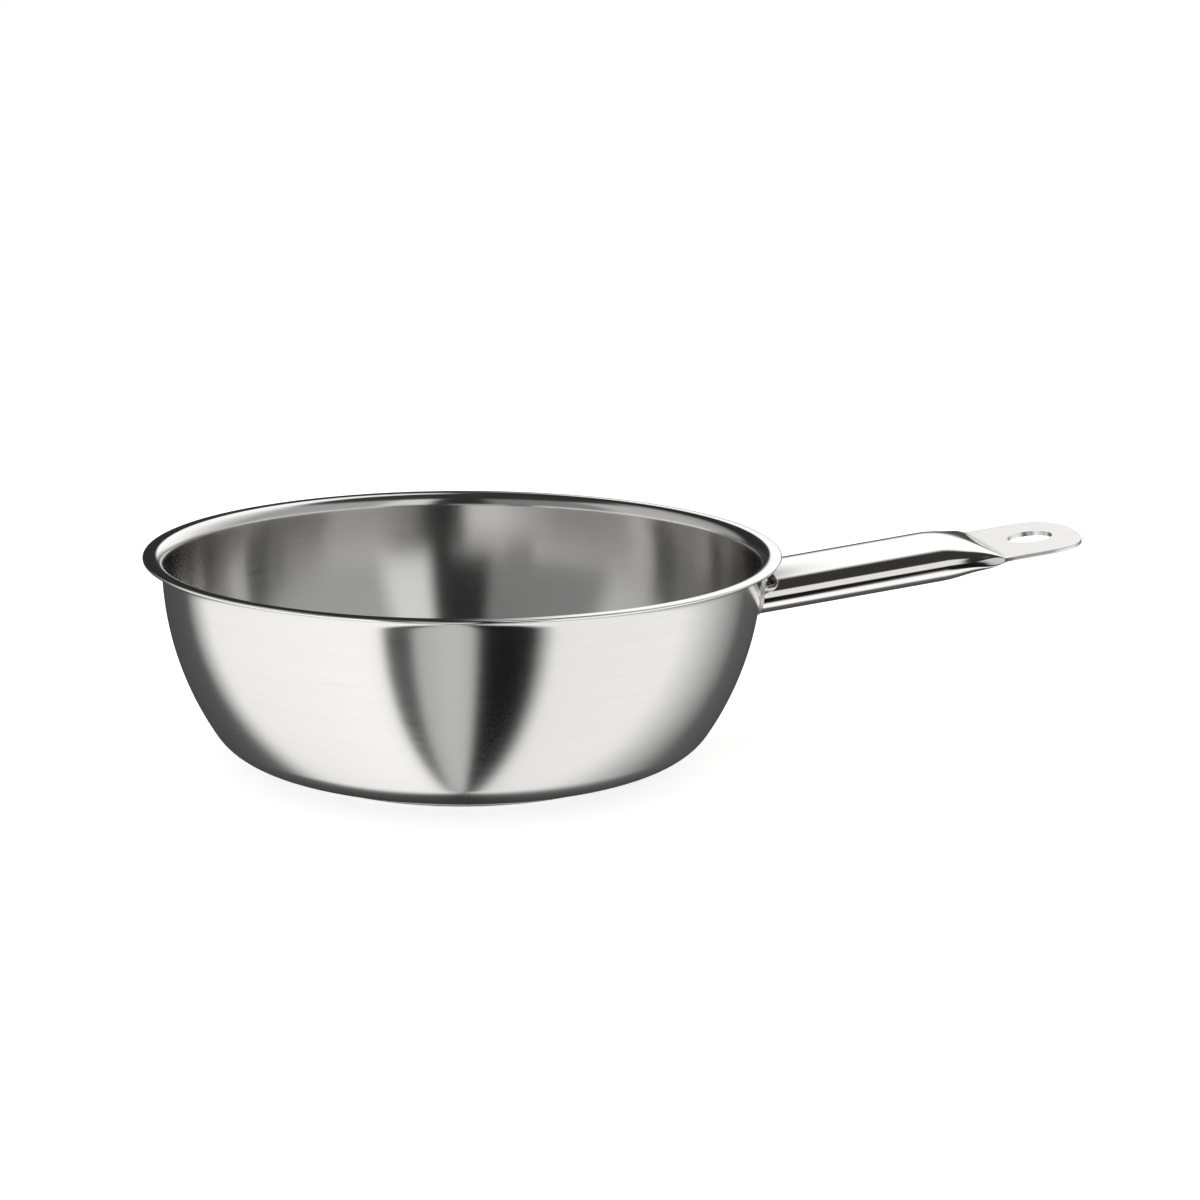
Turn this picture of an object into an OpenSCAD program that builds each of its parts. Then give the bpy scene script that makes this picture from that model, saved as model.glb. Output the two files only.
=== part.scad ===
// Saucier pan with a curved wall, a flared pouring rim and a welded tube handle.
// Millimetres. The pan stands on z = 0 with its axis on Z, and the handle points along +X.

/* [Bowl] */
// Outer radius of the flared rim
rim_r = 105; // [85:1:150]
// How far the rim reaches out past the wall below it
rim_reach = 6.2; // [5:0.1:9]
// Height of the rim above the resting face
rim_height = 70.5; // [60:0.5:95]
// Thickness of the drawn steel sheet
sheet = 1.1; // [0.8:0.1:1.5]
// Radius of the hollow curve under the rim
neck_fillet = 3.4; // [2.5:0.1:4]
// Radius of the bow of the wall, seen from the side
wall_bow = 100; // [90:1:140]
// Radius of the curve from the wall into the flat bottom
corner_bend = 18; // [12:0.5:24]

/* [Base] */
// Outer radius of the sandwich base
base_r = 62; // [50:1:66]
// Thickness of the aluminium disc that spreads the heat
spreader_thick = 3.4; // [2:0.1:6]
// Thickness of the magnetic steel cap round the disc
cap_thick = 0.6; // [0.4:0.1:1]
// Outer radius of the cap's rounded lower edge
cap_edge = 2.2; // [1.2:0.1:2.4]

/* [Handle] */
// Height of the handle's axis where it meets the wall
handle_height = 53.8; // [48:0.2:55]
// Upward tilt of the handle
handle_tilt = 8.4; // [4:0.2:12]
// Width of the oval tube
tube_width = 38.4; // [30:0.2:42]
// Height of the oval tube
tube_height = 14.6; // [11:0.2:17]
// Wall of the tube
tube_wall = 0.8; // [0.6:0.1:1.2]
// Width of the flattened end
tab_width = 44; // [38:0.5:48]
// Distance from the wall to the middle of the hanging hole
hole_reach = 98.2; // [85:0.5:130]
// Diameter of the hanging hole
hole_d = 15; // [10:0.5:18]
// Distance from the middle of the hole to the tip
tip_reach = 15.5; // [13:0.5:20]
// Distance from the middle of the hole back to the crease where the flat begins
crease_back = 16; // [13:0.5:20]
// Length over which the oval tube is pressed flat
press_length = 20; // [14:1:30]

/* [Weld] */
// Leg of the fillet weld round the root of the handle
weld_leg = 1.8; // [1.2:0.1:2.4]

/* [Hidden] */
$fn = 96;

// Gap left where a curved face meets another piece
joint_gap = 0.05;
// Points round one section of the handle, and round the weld
section_points = 40;
// Steps along an arc of the bowl's outline
arc_steps = 14;
tip_roundness = 2.4;
tube_squareness = 2.2;
tab_squareness = 12;

base_thick = spreader_thick + cap_thick;
neck_r = rim_r - rim_reach;
// The bow of the wall and the hollow under the rim meet upright at this height
neck_z = rim_height - sheet - neck_fillet;
bow_x = neck_r - wall_bow;
corner_z = base_thick + corner_bend;
corner_x = bow_x + sqrt(pow(wall_bow - corner_bend, 2) - pow(neck_z - corner_z, 2));
// Angle below level at which the corner's curve runs into the bow of the wall
bow_angle = atan2(corner_z - neck_z, corner_x - bow_x);

function arc(cx, cz, r, from, to, steps = arc_steps) =
    [for (i = [0:steps]) let (a = from + (to - from) * i / steps) [cx + r * cos(a), cz + r * sin(a)]];

// Outline of the sheet's outer face, from the pan's axis up to the rim, set in by a distance
function outer_face(inset = 0) = concat(
    [[0, base_thick + inset]],
    arc(corner_x, corner_z, corner_bend - inset, -90, bow_angle),
    arc(bow_x, neck_z, wall_bow - inset, bow_angle, 0));

function bowl_outline() = concat(
    outer_face(),
    arc(neck_r + neck_fillet, neck_z, neck_fillet, 180, 90),
    arc(rim_r - sheet / 2, rim_height - sheet / 2, sheet / 2, -90, 90),
    arc(neck_r + neck_fillet, neck_z, neck_fillet + sheet, 90, 180),
    [for (i = [len(outer_face()) - 1:-1:0]) outer_face(sheet)[i]]);

// Radius of the bow's outer face at a height
function wall_r(z) = bow_x + sqrt(pow(wall_bow, 2) - pow(neck_z - z, 2));

// The solid that the wall's outer face encloses, grown by a gap, for cutting what meets it
module inside_of_wall(gap = 0) {
    rotate_extrude() polygon(concat(outer_face(-gap), [[0, neck_z]]));
}

// The handle's own frame: x runs out along its axis from the wall, z is its upper side
root_x = wall_r(handle_height);
module on_handle() {
    translate([root_x, 0, handle_height]) rotate([0, -handle_tilt, 0]) children();
}

crease_x = hole_reach - crease_back;
press_x = crease_x - press_length;
// The tube starts inside the wall, where the wall's own face trims it
start_x = -12;

function clamp01(t) = min(1, max(0, t));
// How far the tube is pressed flat at x, from 0 to 1
function pressed(x) = pow(clamp01((x - press_x) / press_length), 2);
function tip_share(x) = clamp01((x - hole_reach) / tip_reach);
function half_width(x) =
    (tube_width + (tab_width - tube_width) * pressed(x)) / 2
    * pow(1 - pow(tip_share(x), tip_roundness), 1 / tip_roundness);
function half_height(x) = tube_height / 2 + (tube_wall - tube_height / 2) * pressed(x);
function squareness(x) = tube_squareness + (tab_squareness - tube_squareness) * pow(pressed(x), 3);

function bent(v, n) = sign(v) * pow(abs(v), 2 / n);
function section(x, inset = 0) =
    [for (i = [0:section_points - 1]) let (a = 360 * i / section_points, n = squareness(x))
        [x, (half_width(x) - inset) * bent(cos(a), n), (half_height(x) - inset) * bent(sin(a), n)]];

// A closed skin through rings of equal length
module skin(rings) {
    n = len(rings[0]);
    last = (len(rings) - 1) * n;
    polyhedron(
        points = [for (ring = rings) each ring],
        faces = concat(
            [[for (i = [0:n - 1]) i]],
            [for (k = [0:len(rings) - 2], i = [0:n - 1])
                let (a = k * n + i, b = k * n + (i + 1) % n) each [[a, a + n, b], [b, a + n, b + n]]],
            [[for (i = [n - 1:-1:0]) last + i]]),
        convexity = 8);
}

press_steps = 8;
tip_steps = 9;
// Places of the sections along the pressed stretch, shared by the outside and the hollow
press_places = [for (i = [0:press_steps]) press_x + press_length * i / press_steps];
// The last ring stops just short of the tip, where the width would be nothing
tip_places = [for (i = [0:tip_steps]) hole_reach + tip_reach * sin(86 * i / tip_steps)];

module tube_outside() {
    skin([for (x = concat([start_x], press_places, tip_places)) section(x)]);
}

// The hollow ends where its two walls come together, just before the crease
module tube_hollow() {
    skin([for (x = concat([start_x - 1], [for (i = [0:press_steps - 1]) press_places[i]]))
        section(x, tube_wall)]);
}

module bowl() {
    color([0.74, 0.74, 0.75]) rotate_extrude() polygon(bowl_outline());
}

// Aluminium disc between the bowl and its steel cap
module heat_spreader() {
    inner_edge = cap_edge - cap_thick;
    color([0.82, 0.83, 0.85]) rotate_extrude() polygon(concat(
        [[0, cap_thick]],
        arc(base_r - cap_edge, cap_edge, inner_edge, -90, 0),
        [[base_r - cap_thick, base_thick], [0, base_thick]]));
}

// Steel cap that wraps the disc and is what the pan stands on
module base_cap() {
    inner_edge = cap_edge - cap_thick;
    color([0.60, 0.60, 0.62]) rotate_extrude() polygon(concat(
        [[0, 0]],
        arc(base_r - cap_edge, cap_edge, cap_edge, -90, 0),
        [[base_r, base_thick], [base_r - cap_thick, base_thick]],
        arc(base_r - cap_edge, cap_edge, inner_edge, 0, -90),
        [[0, cap_thick]]));
}

// Oval tube with its outer end pressed into a flat tab that has a hanging hole
module handle() {
    color([0.86, 0.86, 0.86]) difference() {
        on_handle() difference() {
            tube_outside();
            tube_hollow();
            translate([hole_reach, 0, -tube_height / 2]) cylinder(d = hole_d, h = tube_height);
        }
        inside_of_wall(joint_gap);
    }
}

// Where the line along the handle through a section's point meets the wall: solved by repeated steps
function from_handle(p) = [
    root_x + p[0] * cos(handle_tilt) - p[2] * sin(handle_tilt),
    p[1],
    handle_height + p[0] * sin(handle_tilt) + p[2] * cos(handle_tilt)];
function wall_miss(p) = let (q = from_handle(p)) norm([q[0], q[1]]) - wall_r(q[2]) - joint_gap;
function on_wall(p, tries = 8) =
    tries == 0 ? p : on_wall([p[0] - wall_miss(p), p[1], p[2]], tries - 1);

// Ring of points round the tube at the wall, moved out from the tube and then out from the wall
function weld_ring(out, off) =
    [for (i = [0:section_points - 1])
        let (a = 360 * i / section_points,
             side = bent(cos(a), tube_squareness), up = bent(sin(a), tube_squareness),
             foot = on_wall([0, (tube_width / 2 + out) * side, (tube_height / 2 + out) * up]))
        from_handle([foot[0] + off, foot[1], foot[2]])];

// Fillet weld: a bead whose hollow face runs from the wall to the tube
module handle_weld() {
    n = section_points;
    gap = joint_gap;
    leg = weld_leg;
    throat = 0.36 * leg;
    rings = [
        weld_ring(gap, 0), weld_ring(leg / 2, 0), weld_ring(leg, 0), weld_ring(leg, 0.12 * leg),
        weld_ring(0.62 * leg, throat * 0.62), weld_ring(throat, throat), weld_ring(throat * 0.5, 0.66 * leg),
        weld_ring(gap + 0.1, leg), weld_ring(gap, leg)];
    m = len(rings);
    color([0.70, 0.70, 0.71]) polyhedron(
        points = [for (ring = rings) each ring],
        faces = [for (k = [0:m - 1], i = [0:n - 1])
            let (j = (i + 1) % n, a = k * n + i, b = k * n + j, c = ((k + 1) % m) * n + i, d = ((k + 1) % m) * n + j)
            each [[a, b, c], [b, d, c]]],
        convexity = 6);
}

bowl();
heat_spreader();
base_cap();
handle();
handle_weld();
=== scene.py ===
"""Saucier pan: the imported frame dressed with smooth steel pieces, in a plain white studio."""
import math

import bmesh
import bpy
import numpy as np
from bpy.props import FloatProperty, FloatVectorProperty, PointerProperty
from mathutils import Matrix, Vector


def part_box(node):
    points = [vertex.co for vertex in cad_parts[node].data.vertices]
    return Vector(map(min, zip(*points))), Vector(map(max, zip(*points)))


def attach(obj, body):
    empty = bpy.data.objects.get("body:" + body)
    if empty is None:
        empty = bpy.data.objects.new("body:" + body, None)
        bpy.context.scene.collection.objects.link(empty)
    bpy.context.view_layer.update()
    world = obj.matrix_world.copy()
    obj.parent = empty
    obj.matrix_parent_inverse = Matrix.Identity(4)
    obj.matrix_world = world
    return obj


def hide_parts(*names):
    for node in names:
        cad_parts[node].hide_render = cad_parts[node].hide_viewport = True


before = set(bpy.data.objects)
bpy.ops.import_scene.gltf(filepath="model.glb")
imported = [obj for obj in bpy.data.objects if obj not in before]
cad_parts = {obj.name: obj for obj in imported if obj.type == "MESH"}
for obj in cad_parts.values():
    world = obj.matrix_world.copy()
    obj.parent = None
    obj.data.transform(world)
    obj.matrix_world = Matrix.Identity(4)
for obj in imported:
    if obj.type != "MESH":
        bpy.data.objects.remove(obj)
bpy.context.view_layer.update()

bl_info = {
    "name": "Saucier Pan",
    "version": (1, 0, 0),
    "blender": (4, 5, 0),
    "location": "View3D > Sidebar > Saucier",
    "description": "Builds a steel saucier pan round its packed frame, and a white studio for it",
    "category": "Add Mesh",
}

BOWL_LOW, BOWL_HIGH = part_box("bowl")
CAP_LOW, CAP_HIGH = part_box("base_cap")
MM = 0.001
# Gap from the handle and its weld to the wall, the same as in the CAD source
WALL_GAP = 0.05 * MM
# Gap from the weld to the tube
WELD_GAP = 0.06 * MM
# Steps that bring a point of the handle onto the wall
TRIM_STEPS = 12
# Edges that turn by more than this stay crisp
CRISP_ANGLE = math.radians(50)


def length(name, description, default):
    """A size in metres that the sidebar shows as a length."""
    return FloatProperty(name=name, description=description, default=default, min=0.0, precision=5,
                         subtype="DISTANCE", unit="LENGTH")


def steel(name, description, default):
    """A metal's base colour."""
    return FloatVectorProperty(name=name, description=description, default=default, size=3, min=0.0,
                               max=1.0, subtype="COLOR")


class PanSizes(bpy.types.PropertyGroup):
    """Sizes of the pan, the same as in its CAD source."""
    rim_radius: length("Rim radius", "Outer radius of the flared rim", BOWL_HIGH[1])
    rim_height: length("Rim height", "Height of the rim above the resting face", BOWL_HIGH[2])
    rim_reach: length("Rim reach", "How far the rim reaches out past the wall", 6.2 * MM)
    sheet: length("Sheet", "Thickness of the drawn sheet", 1.1 * MM)
    neck_fillet: length("Neck fillet", "Radius of the hollow curve under the rim", 3.4 * MM)
    wall_bow: length("Wall bow", "Radius of the bow of the wall", 100 * MM)
    corner_bend: length("Corner bend", "Radius of the curve into the flat bottom", 18 * MM)
    base_radius: length("Base radius", "Outer radius of the sandwich base", CAP_HIGH[0])
    base_thick: length("Base thickness", "Thickness of the sandwich base", CAP_HIGH[2])
    cap_thick: length("Cap thickness", "Thickness of the steel cap", 0.6 * MM)
    cap_edge: length("Cap edge", "Radius of the cap's rounded lower edge", 2.2 * MM)
    handle_height: length("Handle height", "Height of the handle's axis at the wall", 53.8 * MM)
    handle_tilt: FloatProperty(name="Handle tilt", description="Upward tilt of the handle",
                               default=math.radians(8.4), subtype="ANGLE")
    tube_width: length("Tube width", "Width of the oval tube", 38.4 * MM)
    tube_height: length("Tube height", "Height of the oval tube", 14.6 * MM)
    tube_wall: length("Tube wall", "Wall of the tube", 0.8 * MM)
    tab_width: length("Tab width", "Width of the flattened end", 44 * MM)
    hole_reach: length("Hole reach", "From the wall to the middle of the hole", 98.2 * MM)
    hole_radius: length("Hole radius", "Radius of the hanging hole", 7.5 * MM)
    tip_reach: length("Tip reach", "From the middle of the hole to the tip", 15.5 * MM)
    crease_back: length("Crease", "From the hole back to the crease", 16 * MM)
    press_length: length("Press length", "Length over which the tube is pressed flat", 20 * MM)
    weld_leg: length("Weld leg", "Leg of the fillet weld", 1.8 * MM)


class PanFinish(bpy.types.PropertyGroup):
    """Colours of the metals."""
    bowl: steel("Bowl steel", "Brushed steel of the bowl", (0.66, 0.655, 0.65))
    rim: steel("Rim steel", "Polished steel of the rim", (0.72, 0.715, 0.71))
    handle: steel("Handle steel", "Mirror polished steel of the tube", (0.80, 0.785, 0.76))
    tab: steel("Tab steel", "Satin steel of the flat tab", (0.70, 0.69, 0.67))
    weld: steel("Weld steel", "Dressed weld metal", (0.52, 0.505, 0.48))
    cap: steel("Cap steel", "Satin steel under the pan", (0.58, 0.575, 0.565))
    spreader: steel("Spreader aluminium", "Aluminium inside the base", (0.80, 0.81, 0.82))


class PanStudio(bpy.types.PropertyGroup):
    """Where the camera stands, and how its picture is cropped."""
    azimuth: FloatProperty(name="Azimuth", default=math.radians(7.5), subtype="ANGLE",
                           description="Camera's turn from the front, towards the left")
    elevation: FloatProperty(name="Elevation", default=math.radians(14.06), subtype="ANGLE",
                             description="Camera's height over the pan, as an angle")
    distance: length("Distance", "Camera's distance from the middle of the pan", 0.84)
    middle: length("Middle", "Height of the point the distance is measured from", 0.035)
    aim: FloatVectorProperty(name="Aim", description="Point the lens is turned to",
                             default=(0.00413, -0.00054, 0.03669), size=3, subtype="TRANSLATION")
    lens: FloatProperty(name="Lens", description="Focal length on a 36 mm sensor", default=75.44,
                        min=1.0)
    shift: FloatVectorProperty(name="Shift", default=(0.1042, 0.0392), size=2,
                               description="How far the picture is cropped off centre")


class Value:
    """A shader socket that takes part in sums: each operator adds one Math node."""

    def __init__(self, nodes, socket):
        self.nodes = nodes
        self.socket = socket

    def math(self, operation, *others):
        return self.nodes.add("ShaderNodeMath", {"operation": operation}, [self, *others])

    def __add__(self, other):
        return self.math("ADD", other)

    def __sub__(self, other):
        return self.math("SUBTRACT", other)

    def __rsub__(self, other):
        return self.nodes.add("ShaderNodeMath", {"operation": "SUBTRACT"}, [other, self])

    def __mul__(self, other):
        return self.math("MULTIPLY", other)

    def __truediv__(self, other):
        return self.math("DIVIDE", other)

    __radd__ = __add__
    __rmul__ = __mul__


class Nodes:
    """Adds nodes to a tree: a type, its settings first, then the values or links of its sockets."""

    def __init__(self, tree):
        self.tree = tree
        tree.nodes.clear()

    def add(self, kind, settings=None, inputs=None, output=0):
        node = self.tree.nodes.new(kind)
        for key, value in (settings or {}).items():
            if key == "stops":
                self.set_stops(node.color_ramp, value)
            else:
                setattr(node, key, value)
        pairs = enumerate(inputs) if isinstance(inputs, (list, tuple)) else (inputs or {}).items()
        for key, value in pairs:
            if isinstance(value, Value):
                self.tree.links.new(value.socket, node.inputs[key])
            else:
                node.inputs[key].default_value = value
        return Value(self, node.outputs[output])

    @staticmethod
    def set_stops(ramp, stops):
        """Gives a ramp its (place, strength) stops."""
        while len(ramp.elements) > 1:
            ramp.elements.remove(ramp.elements[-1])
        for i, (place, strength) in enumerate(stops):
            element = ramp.elements[0] if i == 0 else ramp.elements.new(place)
            element.position = place
            element.color = (strength, strength, strength, 1.0)

    def finish(self, shader):
        out = self.tree.nodes.new("ShaderNodeOutputMaterial")
        self.tree.links.new(shader.socket, out.inputs["Surface"])


def rgba(colour):
    return (*colour, 1.0)


def smooth_step(nodes, value, low, high):
    """Turns value into a soft 0 to 1 mask between low and high."""
    return nodes.add("ShaderNodeMapRange", {"interpolation_type": "SMOOTHSTEP"},
                     {"Value": value, "From Min": low, "From Max": high}, output="Result")


def object_spot(nodes):
    """Position on the pan, as a vector."""
    return nodes.add("ShaderNodeTexCoord", output="Object")


def parts_of(nodes, vector):
    """A vector's x, y and z."""
    return [nodes.add("ShaderNodeSeparateXYZ", None, {"Vector": vector}, output=axis)
            for axis in "XYZ"]


def joined(nodes, x, y, z):
    """A vector from its x, y and z."""
    return nodes.add("ShaderNodeCombineXYZ", None, {"X": x, "Y": y, "Z": z})


def axis_distance(x, y):
    """Distance from the pan's axis."""
    return (x * x + y * y).math("SQRT")


def noise(nodes, vector, scale, detail=3.0, roughness=0.55):
    return nodes.add("ShaderNodeTexNoise", {"noise_dimensions": "3D"},
                     {"Vector": vector, "Scale": scale, "Detail": detail, "Roughness": roughness},
                     output="Fac")


def tint(nodes, colour, amount, value):
    """Makes a colour a little darker or lighter with value, which runs from 0 to 1."""
    dark = [c * (1 - amount) for c in colour]
    light = [min(1.0, c * (1 + amount)) for c in colour]
    return nodes.add("ShaderNodeMix", {"data_type": "RGBA"},
                     {0: value, 6: rgba(dark), 7: rgba(light)}, output=2)


def turned_streaks(nodes, spot, across, along):
    """Fine brushing that runs round the pan's axis, in short arcs."""
    x, y, z = parts_of(nodes, spot)
    radius = axis_distance(x, y).math("MAXIMUM", 1 * MM)
    ring = (radius + z) * across
    return noise(nodes, joined(nodes, x / radius * along, y / radius * along, ring), 1.0, 2.0, 0.6)


def new_material(name):
    material = bpy.data.materials.new(name)
    material.use_nodes = True
    return material, Nodes(material.node_tree)


def bowl_steel(sizes, finish):
    """Satin steel brushed round the pan, with a polished rim and faint wear."""
    material, nodes = new_material("bowl_brushed_steel")
    spot = object_spot(nodes)
    x, y, _ = parts_of(nodes, spot)
    fine = turned_streaks(nodes, spot, 2600.0, 5.0)
    broad = turned_streaks(nodes, spot, 420.0, 2.0)
    patches = noise(nodes, spot, 28.0, 3.0)
    neck = sizes.rim_radius - sizes.rim_reach
    polished = smooth_step(nodes, axis_distance(x, y), neck + 0.2 * MM, neck + 1.6 * MM)
    streaks = fine * 0.65 + broad * 0.35
    brushed = 0.11 + streaks * 0.08 + patches * 0.03
    rough = brushed * (1.0 - polished) + (0.10 + patches * 0.03) * polished
    colour = nodes.add("ShaderNodeMix", {"data_type": "RGBA"},
                       {0: polished, 6: tint(nodes, finish.bowl, 0.07, streaks),
                        7: tint(nodes, finish.rim, 0.03, patches)}, output=2)
    bump = nodes.add("ShaderNodeBump", None,
                     {"Strength": 0.10, "Distance": 0.02 * MM, "Height": fine * (1.0 - polished)},
                     output="Normal")
    nodes.finish(nodes.add("ShaderNodeBsdfPrincipled", None, {
        "Base Color": colour, "Metallic": 1.0, "Roughness": rough, "Normal": bump,
        "Anisotropic": 0.70, "Anisotropic Rotation": 0.25}))
    return material


def handle_steel(sizes, finish):
    """Mirror polished tube that turns satin on the pressed flat, with hairline scratches."""
    material, nodes = new_material("handle_polished_steel")
    spot = object_spot(nodes)
    x, y, z = parts_of(nodes, spot)
    hairlines = noise(nodes, joined(nodes, x * 60.0, y * 1400.0, z * 1400.0), 1.0, 2.0)
    smudges = noise(nodes, spot, 55.0, 4.0)
    crease_reach = (sizes.hole_reach - sizes.crease_back) * math.cos(sizes.handle_tilt)
    crease = BOWL_HIGH[1] - sizes.rim_reach + crease_reach
    flat = smooth_step(nodes, x, crease - 2.5 * MM, crease + 0.5 * MM)
    mirror = 0.045 + smudges * 0.045 + hairlines * 0.02
    satin = 0.24 + hairlines * 0.10
    rough = mirror * (1.0 - flat) + satin * flat
    colour = nodes.add("ShaderNodeMix", {"data_type": "RGBA"},
                       {0: flat, 6: tint(nodes, finish.handle, 0.03, smudges),
                        7: tint(nodes, finish.tab, 0.05, hairlines)}, output=2)
    bump = nodes.add("ShaderNodeBump", None,
                     {"Strength": 0.05, "Distance": 0.02 * MM, "Height": hairlines},
                     output="Normal")
    nodes.finish(nodes.add("ShaderNodeBsdfPrincipled", None, {
        "Base Color": colour, "Metallic": 1.0, "Roughness": rough, "Normal": bump}))
    return material


def weld_steel(finish):
    """Weld bead dressed smooth, with the ripples of its passes still faintly there."""
    material, nodes = new_material("weld_dressed_steel")
    spot = object_spot(nodes)
    ripples = nodes.add("ShaderNodeTexWave", {"wave_type": "BANDS", "bands_direction": "DIAGONAL"},
                        {"Vector": spot, "Scale": 260.0, "Distortion": 2.0, "Detail": 2.0},
                        output="Fac")
    grain = noise(nodes, spot, 900.0, 3.0)
    rough = 0.26 + grain * 0.16 + ripples * 0.04
    bump = nodes.add("ShaderNodeBump", None,
                     {"Strength": 0.35, "Distance": 0.08 * MM, "Height": ripples + grain * 0.4},
                     output="Normal")
    nodes.finish(nodes.add("ShaderNodeBsdfPrincipled", None, {
        "Base Color": tint(nodes, finish.weld, 0.10, grain), "Metallic": 1.0, "Roughness": rough,
        "Normal": bump}))
    return material


def cap_steel(finish):
    """Satin steel turned on a lathe, with rings that catch the light and scuffs from the hob."""
    material, nodes = new_material("cap_turned_steel")
    spot = object_spot(nodes)
    rings = turned_streaks(nodes, spot, 1500.0, 1.0)
    scuffs = noise(nodes, spot, 130.0, 5.0, 0.7)
    rough = 0.27 + rings * 0.14 + scuffs * 0.07
    bump = nodes.add("ShaderNodeBump", None,
                     {"Strength": 0.16, "Distance": 0.03 * MM, "Height": rings}, output="Normal")
    nodes.finish(nodes.add("ShaderNodeBsdfPrincipled", None, {
        "Base Color": tint(nodes, finish.cap, 0.09, rings * 0.6 + scuffs * 0.4), "Metallic": 1.0,
        "Roughness": rough, "Normal": bump, "Anisotropic": 0.5, "Anisotropic Rotation": 0.25}))
    return material


def spreader_aluminium(finish):
    """Rolled aluminium of the disc, which the cap hides."""
    material, nodes = new_material("spreader_rolled_aluminium")
    x, y, z = parts_of(nodes, object_spot(nodes))
    rolled = noise(nodes, joined(nodes, x * 30.0, y * 900.0, z * 900.0), 1.0)
    nodes.finish(nodes.add("ShaderNodeBsdfPrincipled", None, {
        "Base Color": tint(nodes, finish.spreader, 0.05, rolled), "Metallic": 1.0,
        "Roughness": 0.34 + rolled * 0.12}))
    return material


def arc(cx, cz, r, start, end, steps):
    """Points on an arc, from one angle to another in degrees."""
    angles = np.radians(np.linspace(start, end, steps + 1))
    return np.column_stack([cx + r * np.cos(angles), cz + r * np.sin(angles)])


class BowlShape:
    """The bowl's outline, worked out from its sizes as the CAD source does."""

    def __init__(self, s):
        self.s = s
        self.neck_r = s.rim_radius - s.rim_reach
        self.neck_z = s.rim_height - s.sheet - s.neck_fillet
        self.bow_x = self.neck_r - s.wall_bow
        self.corner_z = s.base_thick + s.corner_bend
        reach = s.wall_bow - s.corner_bend
        self.corner_x = self.bow_x + math.sqrt(reach ** 2 - (self.neck_z - self.corner_z) ** 2)
        self.bow_angle = math.degrees(math.atan2(self.corner_z - self.neck_z,
                                                 self.corner_x - self.bow_x))

    def face(self, inset, steps):
        """Outer face of the sheet, set in by a distance, from the axis up to the neck."""
        s = self.s
        floor_x = np.linspace(0, self.corner_x, steps // 2 + 1)[:-1]
        floor = np.column_stack([floor_x, np.full_like(floor_x, s.base_thick + inset)])
        corner = arc(self.corner_x, self.corner_z, s.corner_bend - inset, -90, self.bow_angle,
                     steps)
        wall = arc(self.bow_x, self.neck_z, s.wall_bow - inset, self.bow_angle, 0, steps)
        return np.vstack([floor, corner, wall[1:]])

    def outline(self, steps=36):
        s = self.s
        lip_x = self.neck_r + s.neck_fillet
        edge = s.sheet / 2
        under = arc(lip_x, self.neck_z, s.neck_fillet, 180, 90, steps // 2)[1:]
        lip = arc(s.rim_radius - edge, s.rim_height - edge, edge, -90, 90, 10)
        over = arc(lip_x, self.neck_z, s.neck_fillet + s.sheet, 90, 180, steps // 2)
        inner = self.face(s.sheet, steps)[::-1][1:]
        return np.vstack([self.face(0.0, steps), under, lip, over, inner])

    def wall_radius(self, z):
        return self.bow_x + np.sqrt(self.s.wall_bow ** 2 - (self.neck_z - z) ** 2)


def add_piece(name, points, faces, material):
    """A smooth mesh object with one material, which rides on the pan's only body."""
    mesh = bpy.data.meshes.new(name)
    mesh.from_pydata([tuple(p) for p in points], [], [tuple(f) for f in faces])
    mesh.validate()
    work = bmesh.new()
    work.from_mesh(mesh)
    bmesh.ops.remove_doubles(work, verts=work.verts, dist=1e-7)
    bmesh.ops.recalc_face_normals(work, faces=work.faces)
    work.to_mesh(mesh)
    work.free()
    mesh.polygons.foreach_set("use_smooth", [True] * len(mesh.polygons))
    mesh.materials.append(material)
    piece = bpy.data.objects.new(name, mesh)
    bpy.context.scene.collection.objects.link(piece)
    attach(piece, "root")
    return piece


def lathe(name, outline, turns, material):
    """Turns an outline that starts and ends on the axis round Z."""
    angles = np.linspace(0, 2 * np.pi, turns, endpoint=False)
    ring = outline[1:-1]
    count = len(ring)
    points = [(0, 0, outline[0][1]), (0, 0, outline[-1][1])]
    for a in angles:
        points += [(r * math.cos(a), r * math.sin(a), z) for r, z in ring]
    faces = []
    for t in range(turns):
        here, there = 2 + t * count, 2 + (t + 1) % turns * count
        faces.append((0, there, here))
        faces.append((1, here + count - 1, there + count - 1))
        faces += [(here + i, there + i, there + i + 1, here + i + 1) for i in range(count - 1)]
    return add_piece(name, points, faces, material)


def bent(v, power):
    return np.sign(v) * np.abs(v) ** (2 / power)


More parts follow.
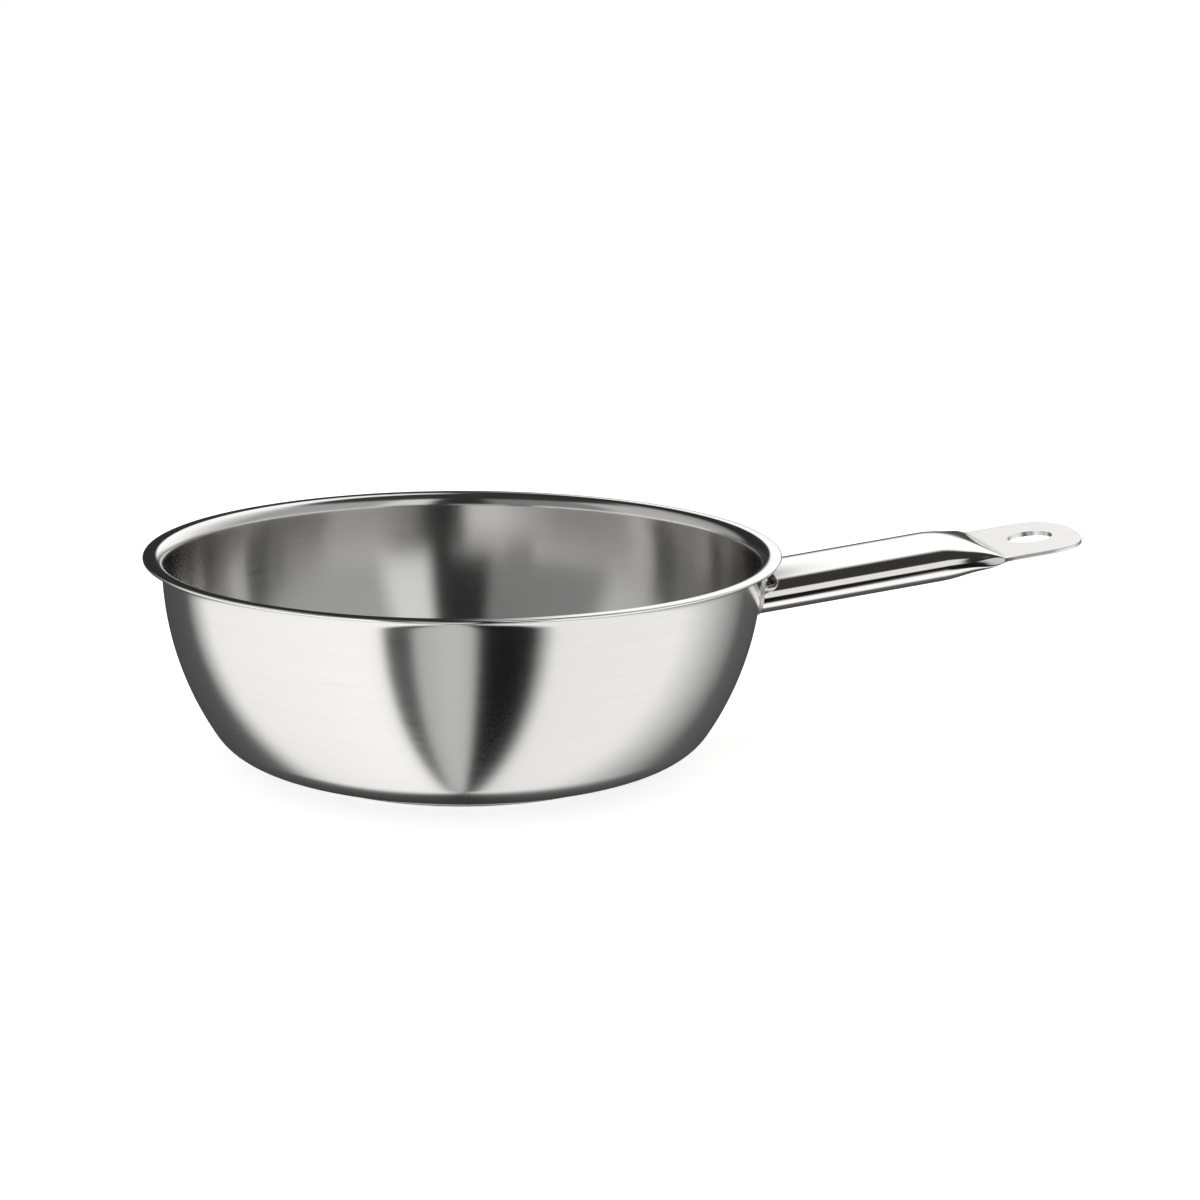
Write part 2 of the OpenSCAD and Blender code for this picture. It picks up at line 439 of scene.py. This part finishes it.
class HandleShape:
    """Sections of the handle along its own axis, worked out as the CAD source does."""
    tip_roundness = 2.4
    tube_squareness = 2.2
    tab_squareness = 12.0
    # The tube starts inside the wall, which then trims its first ring
    start = -4 * MM
    # The last ring stops just short of the tip, where the width would be nothing
    tip_angle = 86
    straight_rings = 12
    press_rings = 25
    flat_rings = 6
    tip_rings = 22

    def __init__(self, s):
        self.s = s
        self.bowl = BowlShape(s)
        self.root_x = self.bowl.wall_radius(s.handle_height)
        self.crease = s.hole_reach - s.crease_back
        self.press = self.crease - s.press_length
        self.tilt = Matrix.Translation((self.root_x, 0, s.handle_height)) \
            @ Matrix.Rotation(-s.handle_tilt, 4, "Y")

    def pressed(self, x):
        return min(1.0, max(0.0, (x - self.press) / self.s.press_length)) ** 2

    def section(self, x, points):
        s = self.s
        flat = self.pressed(x)
        tip = min(1.0, max(0.0, (x - s.hole_reach) / s.tip_reach))
        taper = (1 - tip ** self.tip_roundness) ** (1 / self.tip_roundness)
        width = (s.tube_width + (s.tab_width - s.tube_width) * flat) / 2 * taper
        height = s.tube_height / 2 + (s.tube_wall - s.tube_height / 2) * flat
        power = self.tube_squareness + (self.tab_squareness - self.tube_squareness) * flat ** 3
        a = np.linspace(0, 2 * np.pi, points, endpoint=False)
        return np.column_stack([np.full(points, x), width * bent(np.cos(a), power),
                                height * bent(np.sin(a), power)])

    def places(self):
        """Where the sections stand: close together where the tube changes, with a tight crease."""
        straight = np.linspace(self.start, self.press, self.straight_rings)[:-1]
        press = np.linspace(self.press, self.crease, self.press_rings)
        flat = np.linspace(self.crease, self.s.hole_reach, self.flat_rings)[1:-1]
        angles = np.radians(np.linspace(0, self.tip_angle, self.tip_rings))
        tip = self.s.hole_reach + self.s.tip_reach * np.sin(angles)
        return np.concatenate([straight, press, flat, tip])

    def trimmed(self, ring):
        """Slides each point of a ring along the handle until it meets the wall."""
        ring = ring.copy()
        for point in ring:
            for _ in range(TRIM_STEPS):
                q = self.tilt @ Vector(point)
                point[0] -= math.hypot(q.x, q.y) - self.bowl.wall_radius(q.z) - WALL_GAP
        return ring

    def to_world(self, points):
        return [self.tilt @ Vector(p) for p in points]


def tube_faces(rings, count):
    faces = []
    for k in range(rings - 1):
        for i in range(count):
            a, b = k * count + i, k * count + (i + 1) % count
            faces.append((a, b, b + count, a + count))
    return faces


def apply_modifiers(piece):
    graph = bpy.context.evaluated_depsgraph_get()
    mesh = bpy.data.meshes.new_from_object(piece.evaluated_get(graph))
    piece.modifiers.clear()
    piece.data = mesh


def sizes_of(context):
    return context.scene.saucier_sizes, context.scene.saucier_finish


class SAUCIER_OT_bowl(bpy.types.Operator):
    """Turn the bowl: wall, corner, floor and flared rim as one smooth sheet"""
    bl_idname = "saucier.add_bowl"
    bl_label = "Bowl"
    turns = 256

    def execute(self, context):
        sizes, finish = sizes_of(context)
        piece = lathe("bowl_sheet", BowlShape(sizes).outline(), self.turns,
                      bowl_steel(sizes, finish))
        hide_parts("bowl")
        return {"FINISHED"}


class SAUCIER_OT_base(bpy.types.Operator):
    """Turn the steel cap under the pan, and give the hidden disc its aluminium"""
    bl_idname = "saucier.add_base"
    bl_label = "Base"
    turns = 192
    floor_steps = 24
    edge_steps = 12

    def execute(self, context):
        s, finish = sizes_of(context)
        centre_x, inner = s.base_radius - s.cap_edge, s.cap_edge - s.cap_thick
        floor_x = np.linspace(0, centre_x, self.floor_steps)[:-1]
        outline = np.vstack([
            np.column_stack([floor_x, np.zeros_like(floor_x)]),
            arc(centre_x, s.cap_edge, s.cap_edge, -90, 0, self.edge_steps),
            [[s.base_radius, s.base_thick], [s.base_radius - s.cap_thick, s.base_thick]],
            arc(centre_x, s.cap_edge, inner, 0, -90, self.edge_steps),
            [[0, s.cap_thick]]])
        piece = lathe("cap_dish", outline, self.turns, cap_steel(finish))
        piece.modifiers.new("crisp", "EDGE_SPLIT").split_angle = CRISP_ANGLE
        apply_modifiers(piece)
        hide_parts("base_cap")
        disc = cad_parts["heat_spreader"]
        disc.data.materials.clear()
        disc.data.materials.append(spreader_aluminium(finish))
        return {"FINISHED"}


class SAUCIER_OT_handle(bpy.types.Operator):
    """Loft the handle: an oval tube trimmed at the wall, pressed flat, with the hole cut through"""
    bl_idname = "saucier.add_handle"
    bl_label = "Handle"
    section_points = 96

    def execute(self, context):
        sizes, finish = sizes_of(context)
        shape = HandleShape(sizes)
        rings = [shape.section(x, self.section_points) for x in shape.places()]
        rings[0] = shape.trimmed(rings[0])
        points = np.vstack(rings)
        faces = tube_faces(len(rings), self.section_points)
        last = (len(rings) - 1) * self.section_points
        faces.append(range(last, last + self.section_points))
        faces.append(range(self.section_points - 1, -1, -1))
        piece = add_piece("handle_tube", shape.to_world(points), faces,
                          handle_steel(sizes, finish))
        self.cut_hole(piece, shape)
        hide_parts("handle")
        return {"FINISHED"}

    @staticmethod
    def cut_hole(piece, shape):
        s = shape.s
        bpy.ops.mesh.primitive_cylinder_add(
            vertices=96, radius=s.hole_radius, depth=s.tube_height,
            location=shape.tilt @ Vector((s.hole_reach, 0, 0)), rotation=(0, -s.handle_tilt, 0))
        drill = bpy.context.active_object
        cut = piece.modifiers.new("hole", "BOOLEAN")
        cut.operation, cut.solver, cut.object = "DIFFERENCE", "EXACT", drill
        apply_modifiers(piece)
        bpy.data.objects.remove(drill)
        crisp = piece.modifiers.new("edges", "BEVEL")
        crisp.width, crisp.segments = 0.25 * MM, 2
        crisp.limit_method, crisp.angle_limit = "ANGLE", CRISP_ANGLE
        crisp.harden_normals = True
        apply_modifiers(piece)


class SAUCIER_OT_weld(bpy.types.Operator):
    """Sweep the fillet weld round the root of the handle, with the ripples of its passes"""
    bl_idname = "saucier.add_weld"
    bl_label = "Weld"
    section_points = 240
    ripples = 46
    ripple_share = 0.05

    def execute(self, context):
        sizes, finish = sizes_of(context)
        shape = HandleShape(sizes)
        leg = sizes.weld_leg
        hollow = [(0.0, 0.0), (0.5, 0.0), (0.97, 0.0), (0.96, 0.10), (0.62, 0.22), (0.36, 0.36),
                  (0.20, 0.60), (0.09, 0.95), (0.03, 0.97)]
        rings = [self.ring(shape, out * leg, off * leg) for out, off in hollow]
        rings.append(rings[0])
        points = [p for ring in rings for p in ring]
        faces = tube_faces(len(rings), self.section_points)
        piece = add_piece("weld_bead", points, faces, weld_steel(finish))
        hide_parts("handle_weld")
        return {"FINISHED"}

    def ring(self, shape, out, off):
        s = shape.s
        a = np.linspace(0, 2 * np.pi, self.section_points, endpoint=False)
        power = HandleShape.tube_squareness
        half_width = s.tube_width / 2 + out + WELD_GAP
        half_height = s.tube_height / 2 + out + WELD_GAP
        ring = np.column_stack([np.zeros_like(a), half_width * bent(np.cos(a), power),
                                half_height * bent(np.sin(a), power)])
        foot = shape.trimmed(ring)
        foot[:, 0] += off * (1 + self.ripple_share * np.sin(a * self.ripples))
        return shape.to_world(foot)


class SAUCIER_OT_stage(bpy.types.Operator):
    """Lay the white floor, hang the soft light, light the world and set the camera"""
    bl_idname = "saucier.add_stage"
    bl_label = "Studio"

    # Light that only the steel's reflections see, low and high round the pan: degrees to the
    # right of the default camera, and strength
    low_bands = [(-180, 0.05), (-128, 0.12), (-112, 1.25), (-40, 1.40), (-31, 1.36), (-28, 0.10),
                 (-20, 0.10), (-17, 0.62), (-5, 0.74), (3.5, 0.70), (7, 0.01), (27, 0.01),
                 (35, 1.20), (90, 1.25), (112, 0.70), (135, 0.14), (180, 0.05)]
    high_bands = [(-180, 0.03), (-150, 0.03), (-140, 0.40), (-112, 0.60), (-70, 0.65), (-60, 0.30),
                  (-14, 0.26), (-9, 0.03), (11, 0.03), (16, 0.95), (30, 0.95), (38, 0.50),
                  (100, 0.50), (120, 0.80), (150, 1.30), (177, 1.30), (179.5, 0.03), (180, 0.03)]

    # Rise of a direction, 0 level and 1 upright, over which the high bands take over from the
    # low ones, and over which the dark ceiling takes over from both
    raised_from = (0.02, 0.22)
    ceiling_from = (0.80, 0.90)
    ceiling = 0.04
    # Even light for every ray that is neither a reflection nor the camera's own
    ambient = 0.55
    floor_half = 6.0
    floor_drop = 0.2 * MM

    def execute(self, context):
        studio = context.scene.saucier_studio
        self.add_camera(context, studio)
        self.add_floor()
        self.add_lamp()
        self.light_world(context, studio)
        return {"FINISHED"}

    @staticmethod
    def add_camera(context, studio):
        flat = studio.distance * math.cos(studio.elevation)
        place = Vector((-flat * math.sin(studio.azimuth), -flat * math.cos(studio.azimuth),
                        studio.middle + studio.distance * math.sin(studio.elevation)))
        data = bpy.data.cameras.new("camera")
        data.sensor_width = 36.0
        data.sensor_fit = "HORIZONTAL"
        data.lens = studio.lens
        data.shift_x, data.shift_y = studio.shift
        camera = bpy.data.objects.new("camera", data)
        camera.location = place
        camera.rotation_euler = (Vector(studio.aim) - place).to_track_quat("-Z", "Y").to_euler()
        context.scene.collection.objects.link(camera)
        context.scene.camera = camera

    def add_floor(self):
        """A wide white sheet that keeps the pan's soft shadow and isn't mirrored in the steel."""
        half = self.floor_half
        mesh = bpy.data.meshes.new("floor")
        mesh.from_pydata([(-half, -half, 0), (half, -half, 0), (half, half, 0), (-half, half, 0)],
                         [], [(0, 1, 2, 3)])
        floor = bpy.data.objects.new("floor", mesh)
        floor.location.z = -self.floor_drop
        bpy.context.scene.collection.objects.link(floor)
        material, nodes = new_material("white_floor")
        glow = nodes.add("ShaderNodeEmission", None, {"Color": (1, 1, 1, 1), "Strength": 0.62})
        paper = nodes.add("ShaderNodeBsdfDiffuse", None, {"Color": (0.85, 0.85, 0.85, 1)})
        nodes.finish(nodes.add("ShaderNodeAddShader", None, [glow, paper]))
        mesh.materials.append(material)
        floor.visible_glossy = False

    @staticmethod
    def add_lamp():
        data = bpy.data.lights.new("soft_box", "AREA")
        data.shape, data.size, data.energy = "DISK", 1.2, 9.0
        lamp = bpy.data.objects.new("soft_box", data)
        lamp.location = (0.0, 0.0, 1.3)
        lamp.visible_glossy = False
        bpy.context.scene.collection.objects.link(lamp)

    def light_world(self, context, studio):
        """White to the camera; to reflections, bright and dark bands under a dark ceiling."""
        world = bpy.data.worlds.new("studio")
        context.scene.world = world
        world.use_nodes = True
        nodes = Nodes(world.node_tree)
        ray = nodes.add("ShaderNodeTexCoord", output="Generated")
        x, y, z = parts_of(nodes, ray)
        sin_a, cos_a = math.sin(studio.azimuth), math.cos(studio.azimuth)
        right = x * cos_a - y * sin_a
        ahead = x * -sin_a - y * cos_a
        turn = right.math("ARCTAN2", ahead) / (2 * math.pi) + 0.5
        low = self.band(nodes, turn, self.low_bands)
        high = self.band(nodes, turn, self.high_bands)
        raised = smooth_step(nodes, z, *self.raised_from)
        overhead = smooth_step(nodes, z, *self.ceiling_from)
        around = low * (1.0 - raised) + high * raised
        mirrored = around * (1.0 - overhead) + self.ceiling * overhead
        path = {name: nodes.add("ShaderNodeLightPath", output=name)
                for name in ("Is Camera Ray", "Is Glossy Ray")}
        lit = mirrored * path["Is Glossy Ray"] + self.ambient * (1.0 - path["Is Glossy Ray"])
        strength = lit * (1.0 - path["Is Camera Ray"]) + path["Is Camera Ray"]
        sky = nodes.add("ShaderNodeBackground", None,
                        {"Color": (1, 1, 1, 1), "Strength": strength})
        out = world.node_tree.nodes.new("ShaderNodeOutputWorld")
        world.node_tree.links.new(sky.socket, out.inputs["Surface"])

    @staticmethod
    def band(nodes, turn, bands):
        stops = [((degrees + 180) / 360, strength) for degrees, strength in bands]
        return nodes.add("ShaderNodeValToRGB", {"stops": stops}, {"Fac": turn}, output="Color")


class SAUCIER_PT_panel(bpy.types.Panel):
    """Buttons for the pan's pieces and its studio"""
    bl_idname = "SAUCIER_PT_panel"
    bl_label = "Saucier Pan"
    bl_space_type = "VIEW_3D"
    bl_region_type = "UI"
    bl_category = "Saucier"

    def draw(self, context):
        for operator in OPERATORS:
            self.layout.operator(operator.bl_idname)
        for name in GROUPS:
            group = getattr(context.scene, name)
            for prop in group.bl_rna.properties:
                if prop.identifier not in ("name", "rna_type"):
                    self.layout.prop(group, prop.identifier)


OPERATORS = (SAUCIER_OT_bowl, SAUCIER_OT_base, SAUCIER_OT_handle, SAUCIER_OT_weld,
             SAUCIER_OT_stage)
GROUPS = {"saucier_sizes": PanSizes, "saucier_finish": PanFinish, "saucier_studio": PanStudio}


def register():
    for group in GROUPS.values():
        bpy.utils.register_class(group)
    for operator in OPERATORS:
        bpy.utils.register_class(operator)
    bpy.utils.register_class(SAUCIER_PT_panel)
    for name, group in GROUPS.items():
        setattr(bpy.types.Scene, name, PointerProperty(type=group))


def unregister():
    for name in GROUPS:
        delattr(bpy.types.Scene, name)
    bpy.utils.unregister_class(SAUCIER_PT_panel)
    for operator in reversed(OPERATORS):
        bpy.utils.unregister_class(operator)
    for group in reversed(GROUPS.values()):
        bpy.utils.unregister_class(group)


def main():
    register()
    bpy.context.scene.view_settings.view_transform = "Standard"
    bpy.ops.saucier.add_stage()
    bpy.ops.saucier.add_bowl()
    bpy.ops.saucier.add_base()
    bpy.ops.saucier.add_handle()
    bpy.ops.saucier.add_weld()


if __name__ == "__main__":
    main()
